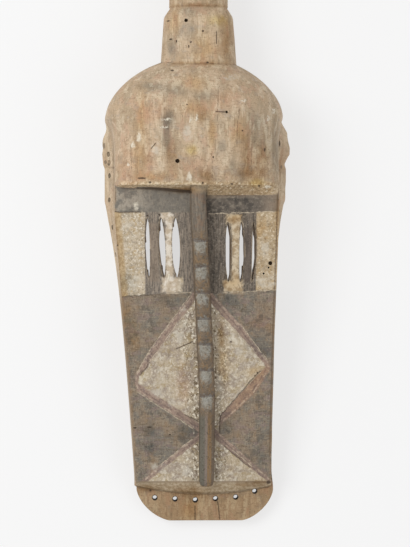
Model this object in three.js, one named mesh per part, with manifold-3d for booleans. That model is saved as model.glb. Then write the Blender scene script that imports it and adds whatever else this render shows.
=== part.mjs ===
// A carved wooden face mask of the Mossi kind, one piece of wood, lying face up on its rear rim.
// Millimetres. +X runs to the viewer's right, +Y from the chin to the crown, +Z out of the face.
// The shapes below are drawn with y = 0 at the lower edge of the chin flange and z = 0 on the rim.
import * as THREE from "three";
import { mergeVertices } from "three/addons/utils/BufferGeometryUtils.js";
import Module from "manifold-3d";

const wasm = await Module();
wasm.setup();

// Heights up the mask.
const CHIN_LEDGE = 44; // lower edge of the flat face board
const CHIN_FOOT = 37.5; // the board slopes down onto the flange here
const CHIN_BOW = 9; // the middle of that foot hangs this much lower
const CHEEKS_FROM = 48; // the face widens from here to the temples
const TEMPLES = 350;
const BROW = 365; // edge of the forehead over the board
const SWELL_FROM = 400;
const FOREHEAD_PEAK = 425;
const SHOULDER = 439; // above this the dome closes in towards the crown
const CREST_TOP = 625; // flat end of the crest foot

// Half widths and depths.
const RIM_CHIN = 75.5; // half width over the rim at the chin
const CHEEK_WIDENING = 14; // even widening from chin to brow
const TEMPLE_WIDENING = 9.5; // the last sweep out below the brow
const SHOULDER_SWELL = 6; // the walls swell again where the dome is widest
const LEFT_SHOULDER = 1.04; // the left shoulder of the dome is the fuller one
const BOARD_CHIN = 30.4; // front of the face board above the rim plane
const BOARD_BROW = 88;
const BROW_DEPTH = 108;
const DOME_DEPTH = 124;
const WALL_TOP_AT_BROW = 86; // the edge between side walls and forehead sinks from here to the crown's axis
const DOME_RISE = 67.5; // from the shoulder to the top of the dome
const DOME_POWER = 1.8;
const CROWN_DEPTH = 50; // axis of the crest foot above the rim plane
const BACK_RISE_FROM = 452; // where the back of the dome lifts off the rim plane
const BACK_RISE = 56;
const BROW_DROP = { outerLeft: 3, innerLeft: 6, right: 11 }; // a sharp edge on the left, a cove on the right
const FLARE_CHIN = 1; // how far the rim stands out beyond the walls
const FLARE_BROW = 10;
const FLARE_POWER = 7; // the flare grows only near the temples
const FLARE_DEPTH = 25;
const FLARE_ENDS = { left: [415, 440], right: [424, 442] }; // the flare dies away between these heights
const SWAY = 9.2; // the chin hangs this far right of the crown
const SWAY_FROM = 330;
const SWAY_TO = 44;

// Swelling of the rim beside the forehead, as pairs of a height and a width.
const LOBE_LEFT = [[386, 0], [390, 1.6], [402, 2.7], [409, 1.5], [411, 2], [420, 0.8], [430, 0]];
const LOBE_RIGHT = [
  [350, 0], [372, 2], [386, 2], [391, 0.4], [398, 3.6], [402, 6.1], [409, 6.1], [420, 2.2], [430, 0],
];

// Thickness of the wood.
const WALL = 13;
const BOARD = 17;
const DOME = 20;
const CHIN_WALL = 14;
const BROW_WALL = 12;
const CROWN = 23.5;

// Ridge down the middle of the face.
const RIDGE_HALF = 9.2;
const RIDGE_HEIGHT = 23;
const RIDGE_BROW_X = 1.2; // the ridge leans to the right on its way down
const RIDGE_CHIN_X = 12.2;
const FIRST_NOTCH = 139.5;
const NOTCH_PITCH = 27.9;
const NOTCHES = 7;
const TOOTH_DEPTH = 9;
const RIDGE_TOP_HEIGHT = 17; // the plain stretch between the teeth and the brow
const RIDGE_SHOULDER = 13; // height where the crest starts to close in
const BRINK = 0.45; // a corner halfway up the crest, as a share of the half width
const KEEL_BRINK = 0.48; // share of the crest's rise at that corner: straight slopes on the keel
const TOOTH_BRINK = 0.8; // and a round back on the teeth
const RIDGE_SINK = 6;

// Eye slits, three on each side of the ridge: middle, half width, lean and sideways bow of each.
const SLIT_MIDDLE_LEFT = 298.5;
const SLIT_MIDDLE_RIGHT = 294;
const SLIT_HALF_LENGTH = 32;
const SLIT_CUT_FROM = 20; // depths that the cut passes through
const SLIT_CUT_TO = 140;
const SLITS = [
  { x: -52.2, half: 2.4, lean: -0.8, bow: -0.8, middle: SLIT_MIDDLE_LEFT },
  { x: -37, half: 3.4, lean: -1.8, bow: -0.3, middle: SLIT_MIDDLE_LEFT },
  { x: -22.2, half: 4.1, lean: -1, bow: 0, middle: SLIT_MIDDLE_LEFT },
  { x: 34, half: 3.1, lean: -0.5, bow: 0.6, middle: SLIT_MIDDLE_RIGHT },
  { x: 47.8, half: 2.6, lean: 0.3, bow: 1.1, middle: SLIT_MIDDLE_RIGHT },
  { x: 60.4, half: 2.2, lean: 0.5, bow: 2, middle: SLIT_MIDDLE_RIGHT },
];

// Chin flange with its row of tie holes.
const FLANGE_HALF = 75;
const FLANGE_FLAT_HALF = 39; // straight part of the lower edge
const FLANGE_CORNER = 34;
const FLANGE_CORNER_POWER = 1.6;
const FLANGE_THICK = 16;
const FLANGE_X = 11;
const FLANGE_FLAT_X = 11.9;
const TIE_HOLE_RADIUS = 2.3;
const TIE_HOLE_FIRST_X = -44;
const TIE_HOLE_PITCH = 22.2;
const TIE_HOLE_HEIGHTS = [25.2, 23.8, 22.6, 24, 25.6];
const LAST_TIE_HOLE = { x: 65.6, y: 32 };

// Tie holes through the left wall, just in front of the rim.
const SIDE_HOLE_RADIUS = 2.3;
const SIDE_HOLE_Z = 9;
const SIDE_HOLE_HEIGHTS = [291.4, 321.3, 351.4, 378, 391.7, 401.6];

// Crest foot: a round drum on the crown with the post that rises from it.
const DRUM_X = 2.7;
const DRUM_BOTTOM = 470;
const DRUM_TOP = 548.8;
const DRUM_HALF = [41.5, 38]; // at the bottom and at the top
const DRUM_DEPTH = [34, 32];
const DRUM_POWER = 2.6;
const POST_FOOT = 557.5;
const POST_HALF = 32.4;
const POST_DEPTH = 28;
const CREASE = 1.2;
const SEAM = 498; // where the drum comes out of the dome

const smooth = (t) => t * t * (3 - 2 * t);
const clamp01 = (t) => Math.min(1, Math.max(0, t));
const mix = (a, b, t) => a + (b - a) * t;
const steps = (from, to, count) =>
  Array.from({ length: count + 1 }, (_, i) => mix(from, to, i / count));

// Share of the dome's width and depth that is left at a height above its shoulder.
const domeShare = (y, rise = DOME_RISE, power = DOME_POWER) =>
  y <= SHOULDER ? 1 : Math.pow(1 - Math.pow((y - SHOULDER) / rise, power), 1 / power);
const sway = (y) => SWAY * clamp01((SWAY_FROM - y) / (SWAY_FROM - SWAY_TO));
const up = (y) => clamp01((y - CHEEKS_FROM) / (TEMPLES - CHEEKS_FROM));
function flareWidth(y, side) {
  const [from, to] = side < 0 ? FLARE_ENDS.left : FLARE_ENDS.right;
  const width = mix(FLARE_CHIN, FLARE_BROW, Math.pow(up(y), FLARE_POWER));
  return width * (1 - smooth(clamp01((y - from) / (to - from))));
}
const flareDepth = (y) => Math.min(FLARE_DEPTH, 0.6 * boardDepth(Math.min(y, BROW)));
function lobe(y, side) {
  const stations = side < 0 ? LOBE_LEFT : LOBE_RIGHT;
  const next = stations.findIndex(([height]) => height > y);
  if (next < 1) return 0;
  const [low, from] = stations[next - 1];
  const [high, to] = stations[next];
  return mix(from, to, (y - low) / (high - low));
}

// Half width of the walls above their flare to the rim.
function wallHalf(y) {
  const t = up(y);
  const rim = RIM_CHIN + CHEEK_WIDENING * Math.pow(t, 1.1) + TEMPLE_WIDENING * Math.pow(t, 5);
  const swell = clamp01((y - SWELL_FROM) / (SHOULDER - SWELL_FROM));
  const flare = mix(FLARE_CHIN, FLARE_BROW, Math.pow(t, FLARE_POWER));
  return (rim - flare + SHOULDER_SWELL * swell * swell) * domeShare(y);
}

const leftShoulder = (y) =>
  mix(1, LEFT_SHOULDER, smooth(clamp01((y - FOREHEAD_PEAK) / (SHOULDER - FOREHEAD_PEAK))));

function boardDepth(y) {
  return mix(BOARD_CHIN, BOARD_BROW, (y - CHIN_LEDGE) / (BROW - CHIN_LEDGE));
}

function domeDepth(y) {
  if (y > SHOULDER) return CROWN_DEPTH + (DOME_DEPTH - CROWN_DEPTH) * domeShare(y);
  const below = clamp01((FOREHEAD_PEAK - y) / (FOREHEAD_PEAK - BROW));
  return DOME_DEPTH - (DOME_DEPTH - BROW_DEPTH) * below * below;
}

function domeWallTop(y) {
  const rise = Math.pow(clamp01((SHOULDER - y) / (SHOULDER - BROW)), 1.5);
  return mix(CROWN_DEPTH, WALL_TOP_AT_BROW, rise);
}

function backDepth(y) {
  const t = Math.max(0, y - BACK_RISE_FROM) / BACK_RISE;
  return CROWN_DEPTH * (1 - Math.sqrt(1 - t * t));
}

// How far the foot of the brow lies below the edge of the forehead.
const browDrop = (side) =>
  side < 0 ? mix(BROW_DROP.innerLeft, BROW_DROP.outerLeft, -side) : BROW_DROP.right;

// One closed ring of the mask at a height, from the right rim over the face to the left rim and back.
function ring(y, shape) {
  const points = [];
  const place = (x, side, z) => {
    const height = y - shape.drop(side);
    points.push(new THREE.Vector3(x + sway(height), height, z));
  };
  const halfAt = (side) => (side < 0 ? shape.half * leftShoulder(y) : shape.half);
  const wallPoint = (sign, share) => {
    const z = shape.back + share * shape.flareDepth;
    const out = shape.flare(sign) * Math.pow(1 - share, 1.5);
    place(sign * (halfAt(sign) + out), sign, z);
  };
  const shares = [0, 0.2, 0.45, 0.7, 1];
  shares.forEach((share) => wallPoint(1, share));
  for (const angle of steps(0, Math.PI, shape.columns)) {
    const side = Math.cos(angle);
    const crown = Math.pow(1 - Math.pow(Math.abs(side), shape.power), 1 / shape.power);
    place(side * halfAt(side), side, mix(shape.wallTop, shape.front, crown));
  }
  shares.reverse().forEach((share) => wallPoint(-1, share));
  for (const side of [-0.6, -0.2, 0.2, 0.6])
    place(side * (halfAt(side) + shape.flare(side)), side, shape.back);
  return points;
}

const level = () => 0;
function outerRing(y, isDome, drop = level) {
  const front = isDome ? domeDepth(y) : boardDepth(y);
  return ring(y, {
    drop,
    columns: 30,
    half: wallHalf(y),
    flare: (side) => flareWidth(y, side) + lobe(y, side),
    flareDepth: flareDepth(y) * domeShare(y),
    back: backDepth(y),
    front,
    wallTop: isDome ? domeWallTop(y) : front - 2,
    power: isDome ? 2.3 : 14,
  });
}

// The lowest ring, where the board has sloped down onto the flange.
function footRing() {
  const front = FLANGE_THICK + 1;
  return ring(CHIN_FOOT, {
    drop: (side) => CHIN_BOW * (1 - side * side),
    columns: 30,
    half: wallHalf(CHIN_FOOT),
    flare: (side) => flareWidth(CHIN_FOOT, side),
    flareDepth: 0.6 * front,
    back: backDepth(CHIN_FOOT),
    front,
    wallTop: front - 2,
    power: 14,
  });
}

// The hollow behind the face, open to the back.
const HOLLOW_FROM = CHIN_LEDGE + CHIN_WALL;
const HOLLOW_RISE = DOME_RISE - CROWN;
const HOLLOW_BROW = BROW + BROW_WALL;
function hollowRing(y, isDome) {
  const share = domeShare(y, HOLLOW_RISE, 2);
  const below = Math.min(y, SHOULDER);
  const front = isDome ? mix(CROWN_DEPTH, domeDepth(below) - DOME, share) : boardDepth(y) - BOARD;
  return ring(y, {
    drop: level,
    columns: 18,
    half: (wallHalf(below) - WALL) * share,
    flare: (side) => flareWidth(below, side),
    flareDepth: Math.min(FLARE_DEPTH, 0.5 * front) + 5,
    back: -5,
    front,
    wallTop: isDome ? mix(CROWN_DEPTH, domeWallTop(below) - 8, share) : front - 3,
    power: isDome ? 2.3 : 8,
  });
}

// A closed solid from rings of equally many points, with a flat end on the first and the last.
function loft(rings) {
  const count = rings[0].length;
  const positions = [];
  const put = (...points) => points.forEach((p) => positions.push(p.x, p.y, p.z));
  const middle = (points) =>
    points.reduce((sum, p) => sum.add(p), new THREE.Vector3()).divideScalar(points.length);
  for (let i = 0; i + 1 < rings.length; i++)
    for (let j = 0; j < count; j++) {
      const k = (j + 1) % count;
      put(rings[i][j], rings[i + 1][j], rings[i + 1][k]);
      put(rings[i][j], rings[i + 1][k], rings[i][k]);
    }
  const first = middle(rings[0]);
  const last = middle(rings.at(-1));
  for (let j = 0; j < count; j++) {
    const k = (j + 1) % count;
    put(first, rings[0][j], rings[0][k]);
    put(last, rings.at(-1)[k], rings.at(-1)[j]);
  }
  return new THREE.BufferGeometry().setAttribute(
    "position",
    new THREE.Float32BufferAttribute(positions, 3),
  );
}

// A three.js geometry as a solid that can be joined and cut.
function solid(geometry) {
  const bare = geometry.clone();
  bare.deleteAttribute("normal");
  bare.deleteAttribute("uv");
  const merged = mergeVertices(bare, 1e-3);
  return new wasm.Manifold(
    new wasm.Mesh({
      numProp: 3,
      vertProperties: merged.attributes.position.array,
      triVerts: new Uint32Array(merged.index.array),
    }),
  );
}

function shell() {
  const flat = [CHIN_LEDGE, ...steps(CHEEKS_FROM, TEMPLES, 20)];
  const board = [footRing(), ...flat.map((y) => outerRing(y, false))];
  const ledge = [outerRing(BROW, false, browDrop), outerRing(BROW, true)];
  const dome = [
    ...steps(BROW + 4, SHOULDER, 14),
    ...steps(SHOULDER + 7, SHOULDER + 0.96 * DOME_RISE, 9),
  ];
  return solid(loft([...board, ...ledge, ...dome.map((y) => outerRing(y, true))]));
}

function hollow() {
  const board = steps(HOLLOW_FROM, HOLLOW_BROW, 14).map((y) => hollowRing(y, false));
  const crown = [0.25, 0.48, 0.68, 0.84, 0.94, 0.985].map((share) => SHOULDER + share * HOLLOW_RISE);
  const dome = [HOLLOW_BROW + 3, SWELL_FROM, 420, SHOULDER, ...crown];
  return solid(loft([...board, ...dome.map((y) => hollowRing(y, true))]));
}

// Middle line of the ridge.
const ridgeX = (y) =>
  mix(RIDGE_CHIN_X, RIDGE_BROW_X, clamp01((y - FIRST_NOTCH) / (TEMPLES - FIRST_NOTCH)));

function ridge() {
  const section = (y, height, half = RIDGE_HALF) => {
    const foot = boardDepth(y) - RIDGE_SINK;
    const shoulder = boardDepth(y) + Math.min(0.75 * height, RIDGE_SHOULDER);
    const crest = boardDepth(y) + height;
    const brink = mix(shoulder, crest, y < FIRST_NOTCH - NOTCH_PITCH / 2 ? KEEL_BRINK : TOOTH_BRINK);
    const upper = 0.86 * half;
    const points = [
      [half, foot],
      [upper, shoulder],
      [BRINK * half, brink],
      [0, crest],
      [-BRINK * half, brink],
      [-upper, shoulder],
      [-half, foot],
    ];
    return points.map(([x, z]) => new THREE.Vector3(ridgeX(y) + x, y, z));
  };
  const roundedEnd = [
    { along: -5.8, height: 4, half: 0.55 },
    { along: -4.2, height: 8.5, half: 0.8 },
    { along: 0, height: 12, half: 0.95 },
    { along: 9, height: 15, half: 1 },
  ];
  const rings = roundedEnd.map(({ along, height, half }) =>
    section(CHIN_LEDGE + along, height, half * RIDGE_HALF),
  );
  for (const t of steps(0, 1, 4))
    rings.push(section(mix(70, FIRST_NOTCH - NOTCH_PITCH / 2, t), mix(17, RIDGE_HEIGHT, t)));
  for (let i = 0; i < NOTCHES; i++) {
    const notch = FIRST_NOTCH + i * NOTCH_PITCH;
    rings.push(section(notch, RIDGE_HEIGHT - TOOTH_DEPTH));
    if (i + 1 < NOTCHES) rings.push(section(notch + NOTCH_PITCH / 2, RIDGE_HEIGHT));
  }
  const plainFrom = FIRST_NOTCH + (NOTCHES - 1) * NOTCH_PITCH + 10;
  rings.push(...steps(plainFrom, BROW + RIDGE_SINK, 4).map((y) => section(y, RIDGE_TOP_HEIGHT)));
  return solid(loft(rings));
}

// A straight solid of an outline, from one depth to another.
function prism(outline, from, to) {
  const shape = new THREE.Shape(outline);
  const geometry = new THREE.ExtrudeGeometry(shape, { depth: to - from, bevelEnabled: false });
  return solid(geometry.translate(0, 0, from));
}

function flange() {
  const corner = (sign) =>
    steps(0, Math.PI / 2, 9).map((angle) => {
      const across = Math.pow(Math.cos(angle), 2 / FLANGE_CORNER_POWER);
      const down = Math.pow(Math.sin(angle), 2 / FLANGE_CORNER_POWER);
      const flat = FLANGE_FLAT_X + sign * FLANGE_FLAT_HALF;
      const side = FLANGE_X + sign * FLANGE_HALF;
      return new THREE.Vector2(mix(flat, side, across), FLANGE_CORNER * (1 - down));
    });
  const top = CHIN_LEDGE + 12;
  const outline = [
    ...corner(1).reverse(),
    new THREE.Vector2(FLANGE_X + FLANGE_HALF, top),
    new THREE.Vector2(FLANGE_X - FLANGE_HALF, top),
    ...corner(-1),
  ];
  return prism(outline, 0, FLANGE_THICK);
}

function bar(radius, length, sides = 12) {
  return new THREE.CylinderGeometry(radius, radius, length, sides);
}

function flangeHoles() {
  const places = TIE_HOLE_HEIGHTS.map((y, i) => ({ x: TIE_HOLE_FIRST_X + i * TIE_HOLE_PITCH, y }));
  return [...places, LAST_TIE_HOLE].map(({ x, y }) =>
    solid(bar(TIE_HOLE_RADIUS, 3 * FLANGE_THICK).rotateX(Math.PI / 2).translate(x, y, FLANGE_THICK / 2)),
  );
}

function sideHoles() {
  return SIDE_HOLE_HEIGHTS.map((y) => {
    const wallMiddle = sway(y) - wallHalf(y);
    return solid(bar(SIDE_HOLE_RADIUS, 5 * WALL).rotateZ(Math.PI / 2).translate(wallMiddle, y, SIDE_HOLE_Z));
  });
}

// A lens-shaped slit, cut straight through the face board.
function slit({ x, half, lean, bow, middle }) {
  const edge = (sign) =>
    steps(-1, 1, 8).map((t) => {
      const across = sign * half * Math.sqrt(1 - t * t);
      const along = x + lean * t + bow * (1 - t * t);
      return new THREE.Vector2(along + across, middle + SLIT_HALF_LENGTH * t);
    });
  const outline = [...edge(1), ...edge(-1).reverse().slice(1, -1)];
  return prism(outline, SLIT_CUT_FROM, SLIT_CUT_TO);
}

function crestFoot() {
  const oval = (y, half, depth) =>
    steps(0, 2 * Math.PI, 40)
      .slice(0, -1)
      .map((angle) => {
        const c = Math.cos(angle);
        const s = Math.sin(angle);
        const round = 2 / DRUM_POWER;
        const x = DRUM_X + half * Math.sign(c) * Math.pow(Math.abs(c), round);
        const z = CROWN_DEPTH + depth * Math.sign(s) * Math.pow(Math.abs(s), round);
        return new THREE.Vector3(x, y, z);
      });
  const rings = [
    oval(DRUM_BOTTOM, DRUM_HALF[0] + 1, DRUM_DEPTH[0] + 1),
    oval(SEAM, DRUM_HALF[0], DRUM_DEPTH[0]),
    oval(DRUM_TOP - 3, DRUM_HALF[1] + 0.3, DRUM_DEPTH[1] + 0.3),
    oval(DRUM_TOP, DRUM_HALF[1] - 0.6, DRUM_DEPTH[1] - 0.6),
    oval(POST_FOOT - 1, POST_HALF, POST_DEPTH),
    oval(POST_FOOT, POST_HALF - CREASE, POST_DEPTH - CREASE),
    oval(POST_FOOT + 1, POST_HALF, POST_DEPTH),
    oval(CREST_TOP - 2.5, POST_HALF - 1.5, POST_DEPTH - 1.5),
    oval(CREST_TOP, POST_HALF - 4, POST_DEPTH - 4),
  ];
  return solid(loft(rings));
}

const block = shell().add(flange()).add(crestFoot());
const carved = block.subtract(hollow()).add(ridge());
const cuts = [...SLITS.map(slit), ...flangeHoles(), ...sideHoles()];
const finished = cuts.reduce((left, cut) => left.subtract(cut), carved).getMesh();
const maskGeometry = new THREE.BufferGeometry()
  .setAttribute("position", new THREE.BufferAttribute(finished.vertProperties, 3))
  .setIndex(new THREE.BufferAttribute(finished.triVerts, 1));
maskGeometry.computeVertexNormals();
const wood = new THREE.MeshStandardMaterial({ color: 0xb89a78, roughness: 0.8, metalness: 0 });
const mask = new THREE.Mesh(maskGeometry, wood);
mask.name = "mask";
maskGeometry.computeBoundingBox();
const { min, max } = maskGeometry.boundingBox;
mask.position.set(-(min.x + max.x) / 2, -(min.y + max.y) / 2, 0);

const carvedMask = new THREE.Group();
carvedMask.add(mask);
export default carvedMask;
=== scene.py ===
"""A carved and painted wooden face mask, lying face up on a pale floor."""

import math

import bpy
import numpy as np
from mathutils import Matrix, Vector


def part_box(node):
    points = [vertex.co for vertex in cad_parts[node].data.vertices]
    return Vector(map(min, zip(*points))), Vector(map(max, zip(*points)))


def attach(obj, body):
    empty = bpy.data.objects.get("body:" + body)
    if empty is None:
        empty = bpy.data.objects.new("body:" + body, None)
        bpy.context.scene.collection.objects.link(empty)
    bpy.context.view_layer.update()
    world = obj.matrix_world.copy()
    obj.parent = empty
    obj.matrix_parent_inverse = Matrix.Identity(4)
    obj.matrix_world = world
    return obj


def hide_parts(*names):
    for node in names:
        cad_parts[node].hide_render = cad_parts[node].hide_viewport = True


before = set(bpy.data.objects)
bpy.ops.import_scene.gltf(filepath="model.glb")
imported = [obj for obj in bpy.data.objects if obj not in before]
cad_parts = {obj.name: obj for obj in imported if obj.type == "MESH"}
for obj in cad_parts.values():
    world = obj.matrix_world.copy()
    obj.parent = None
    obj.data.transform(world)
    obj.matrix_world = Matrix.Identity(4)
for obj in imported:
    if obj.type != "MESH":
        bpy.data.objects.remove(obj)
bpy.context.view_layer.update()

# The shape is drawn in millimetres: x across, y up from the lower edge of the chin flange, z out of
# the face from the plane of the rear rim. The finished mesh is moved onto the box of the mask part in
# model.glb.
MM = 0.001

# Heights up the mask.
CHIN_LEDGE = 44.0
CHIN_FOOT = 37.5
CHIN_BOW = 9.0
CHEEKS_FROM = 48.0
TEMPLES = 350.0
BROW = 365.0
SWELL_FROM = 400.0
FOREHEAD_PEAK = 425.0
SHOULDER = 439.0
CREST_TOP = 625.0

# Half widths, depths and curves of the face, the forehead and the dome.
RIM_CHIN = 75.5
CHEEK_WIDENING = 14.0
TEMPLE_WIDENING = 9.5
SHOULDER_SWELL = 6.0
LEFT_SHOULDER = 1.04
BOARD_CHIN = 30.4
BOARD_BROW = 88.0
BROW_DEPTH = 108.0
DOME_DEPTH = 124.0
WALL_TOP_AT_BROW = 86.0
DOME_RISE = 67.5
DOME_POWER = 1.8
CROWN_DEPTH = 50.0
BOARD_ROUND = 14
BOARD_EDGE_DROP = 2
DOME_ROUND = 2.3
BROW_DROP_LEFT = 3.0
BROW_DROP_MIDDLE = 6.0
BROW_DROP_RIGHT = 11.0
BROW_BEND = 20.0
BACK_RISE_FROM = 452.0
BACK_RISE = 56.0
FLARE_CHIN = 1.0
FLARE_BROW = 10.0
FLARE_POWER = 7
FLARE_DEPTH = 25.0
FLARE_CURVE = 1.5
FLARE_ENDS_LEFT = (415.0, 440.0)
FLARE_ENDS_RIGHT = (424.0, 442.0)
LOBE_LEFT = [(386, 0), (390, 1.6), (402, 2.7), (409, 1.5), (411, 2), (420, 0.8), (430, 0)]
LOBE_RIGHT = [
    (350, 0), (372, 2), (386, 2), (391, 0.4), (398, 3.6), (402, 6.1), (409, 6.1), (420, 2.2), (430, 0),
]
SWAY = 9.2  # how far the chin stands to the right
SWAY_FROM = 330.0
SWAY_TO = 44.0

# Thickness of the wood.
WALL = 13.0
BOARD = 17.0
DOME = 20.0
CHIN_WALL = 14.0
BROW_WALL = 12.0
CROWN = 23.5

# The toothed ridge and its plain keel below.
RIDGE_HALF = 9.2
RIDGE_HEIGHT = 23.0
RIDGE_BROW_X = 1.2
RIDGE_CHIN_X = 12.2
FIRST_NOTCH = 139.5
NOTCH_PITCH = 27.9
NOTCHES = 7
TOOTH_DEPTH = 9.0
TOOTH_RUN_OUT = 10.0
RIDGE_TOP_HEIGHT = 17.0
RIDGE_SHOULDER = 13.0
KEEL_TO = 116.0
TOOTH_ROUNDNESS = 2.3
RIDGE_SINK = 6.0
# The keel's rounded lower end: height on the face, rise over the board and share of the width.
KEEL_END = [(38.2, 4, 0.55), (39.8, 8.5, 0.8), (44, 12, 0.95), (53, 15, 1.0), (70, 17, 1.0)]

# The tie flange at the chin.
FLANGE_HALF = 75.0
FLANGE_FLAT_HALF = 39.0
FLANGE_CORNER = 34.0
FLANGE_CORNER_POWER = 1.6
FLANGE_THICK = 16.0
FLANGE_TAPER = 1.6
FLANGE_X = 11.0
FLANGE_FLAT_X = 11.9

# The foot of the crest: a drum and the start of a post.
DRUM_X = 2.7
DRUM_BOTTOM = 470.0
SEAM = 498.0
DRUM_TOP = 548.8
DRUM_ROUND = 2.6
DRUM_HALF = 40.0
DRUM_HALF_DEPTH = 33.0
POST_FOOT = 557.5
CREASE = 0.7

# Eye slits: middle, half width, lean of the upper end and sideways bow, and how far the cut drifts
# to the right on its way out through the board, which shows its dark right wall.
SLITS = [
    {"x": -52.2, "y": 298.5, "half": 2.4, "lean": -0.8, "bow": -0.8, "drift": -1.6},
    {"x": -37.0, "y": 298.5, "half": 3.4, "lean": -1.8, "bow": -0.3, "drift": -2.3},
    {"x": -22.2, "y": 298.5, "half": 4.1, "lean": -1.0, "bow": 0.0, "drift": -1.4},
    {"x": 34.0, "y": 294.0, "half": 3.1, "lean": -0.5, "bow": 0.6, "drift": 2.0},
    {"x": 47.8, "y": 294.0, "half": 2.6, "lean": 0.3, "bow": 1.1, "drift": 1.5},
    {"x": 60.4, "y": 294.0, "half": 2.2, "lean": 0.5, "bow": 2.0, "drift": 2.6},
]
SLIT_HALF_LENGTH = 32.0
SLIT_ROUND = 0.33
TIE_HOLES = [(-44, 25.2), (-21.8, 23.8), (0.4, 22.6), (22.6, 24), (44.8, 25.6), (65.6, 32)]
TIE_HOLE_RADIUS = 2.3
SIDE_HOLES = [291.4, 321.3, 351.4, 378.0, 391.7, 401.6]
SIDE_HOLE_RADIUS = 2.3
SIDE_HOLE_Z = 9.0

# Marks of age, as places on the front of the mask: insect holes with their radius, nicks of the rim
# with their side, height, reach and depth, and soft stains with half sizes and a tint.
INSECT_HOLES = [
    (-21.7, 389.9, 1.9), (30.3, 441.6, 1), (79.5, 281.8, 2), (77.6, 277, 0.8), (72.4, 270.7, 0.9),
    (-11.6, 542.2, 1.5),
]
RIM_NICKS = [(1, 384, 2.2, 2.2), (1, 361, 2, 1.4), (-1, 393.5, 2.5, 1.3), (-1, 386.5, 2.5, 1.6)]
RIM_WEAR = 0.0015  # share of the width worn away all round
BROW_FOOT = ((-64.0, 362.5), (-8.0, 357.5))
# the tints of the stains
GREY = (0.74, 0.77, 0.8)
DARK_GREY = (0.58, 0.61, 0.65)
BROWN = (0.72, 0.62, 0.5)
PINK = (0.96, 0.86, 0.82)
YELLOW = (0.97, 0.91, 0.62)
OCHRE = (0.93, 0.83, 0.68)
SHADE = (0.88, 0.86, 0.83)
AGED = (0.85, 0.8, 0.73)
STAINS = [
    (-46, 470, 15, 5, GREY), (-22, 464, 16, 5, GREY), (-31, 434, 7, 9, DARK_GREY),
    (-33, 416, 5, 16, DARK_GREY), (-28, 396, 6, 16, BROWN), (-60, 440, 5, 20, OCHRE),
    (-62, 395, 7, 20, OCHRE), (25.2, 405, 5, 7, GREY), (37, 385, 4, 8, GREY), (46, 371, 4, 7, GREY),
    (69.3, 393, 7, 15, BROWN), (6.2, 458.2, 9, 5, GREY), (-6, 446, 10, 7, OCHRE), (4, 440, 5, 10, BROWN),
    (-6.6, 401.2, 6, 5, YELLOW), (-4, 473, 12, 9, OCHRE), (84, 400, 5, 40, GREY),
    (15, 418, 4, 20, OCHRE), (45, 420, 12, 14, OCHRE), (30, 455, 16, 10, PINK), (52, 393, 8, 20, BROWN),
    (-46, 442, 12, 12, PINK), (-74, 385, 10, 26, PINK), (62.9, 367.9, 8, 4, YELLOW),
    (-9.5, 531.7, 8, 10, GREY), (-26.6, 512.4, 6, 9, DARK_GREY), (-7.4, 553.2, 9, 5, GREY),
    (31.3, 517, 7, 24, BROWN), (22.7, 542.5, 11, 6, YELLOW), (-24, 540, 6, 12, OCHRE),
    (8, 512, 12, 16, OCHRE), (-18, 359.5, 17, 3, BROWN), (-12, 360, 9, 3, BROWN),
    (10, 374, 10, 6, BROWN), (55, 378, 20, 7, BROWN), (-45, 374, 22, 4, OCHRE),
    (-49.9, 100.6, 10, 6, DARK_GREY), (-47.7, 81, 9, 7, DARK_GREY), (-10, 98, 9, 8, DARK_GREY),
    (73, 74.7, 5, 12, GREY), (34, 104, 8, 8, GREY), (-68, 204, 6, 16, OCHRE), (-76, 222, 5, 18, OCHRE),
    (-33, 243, 14, 5, GREY), (35.4, 241, 11, 8, DARK_GREY), (63.5, 193.5, 8, 8, GREY),
    (74, 187, 6, 6, DARK_GREY), (67.8, 217, 9, 12, PINK), (26.8, 204, 4, 16, BROWN),
    (63.5, 163, 7, 6, OCHRE), (29, 170, 6, 22, OCHRE), (-14, 150, 7, 20, PINK), (-6, 13, 9, 14, OCHRE),
    (-5, 32, 20, 6, BROWN), (70, 42, 9, 4, BROWN), (-54, 36, 12, 4, BROWN), (52, 40, 8, 3, BROWN),
    (38, 262, 9, 8, OCHRE), (40, 330, 10, 5, OCHRE), (-75, 262, 9, 10, GREY), (68, 318, 8, 10, OCHRE),
    (88, 330, 5, 30, OCHRE), (-102, 402, 5, 12, BROWN), (-99, 384, 3, 6, BROWN), (97, 392, 5, 14, BROWN),
    (-50, 392, 6, 16, PINK), (60, 425, 10, 20, GREY), (0, 385, 16, 10, PINK), (-34, 556, 4, 5, BROWN),
    (48, 58, 24, 15, SHADE), (88, 66, 6, 20, SHADE), (0, 496, 38, 2, BROWN), (2, 559, 32, 2, BROWN),
    (2, 577, 60, 22, AGED),
]
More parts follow.
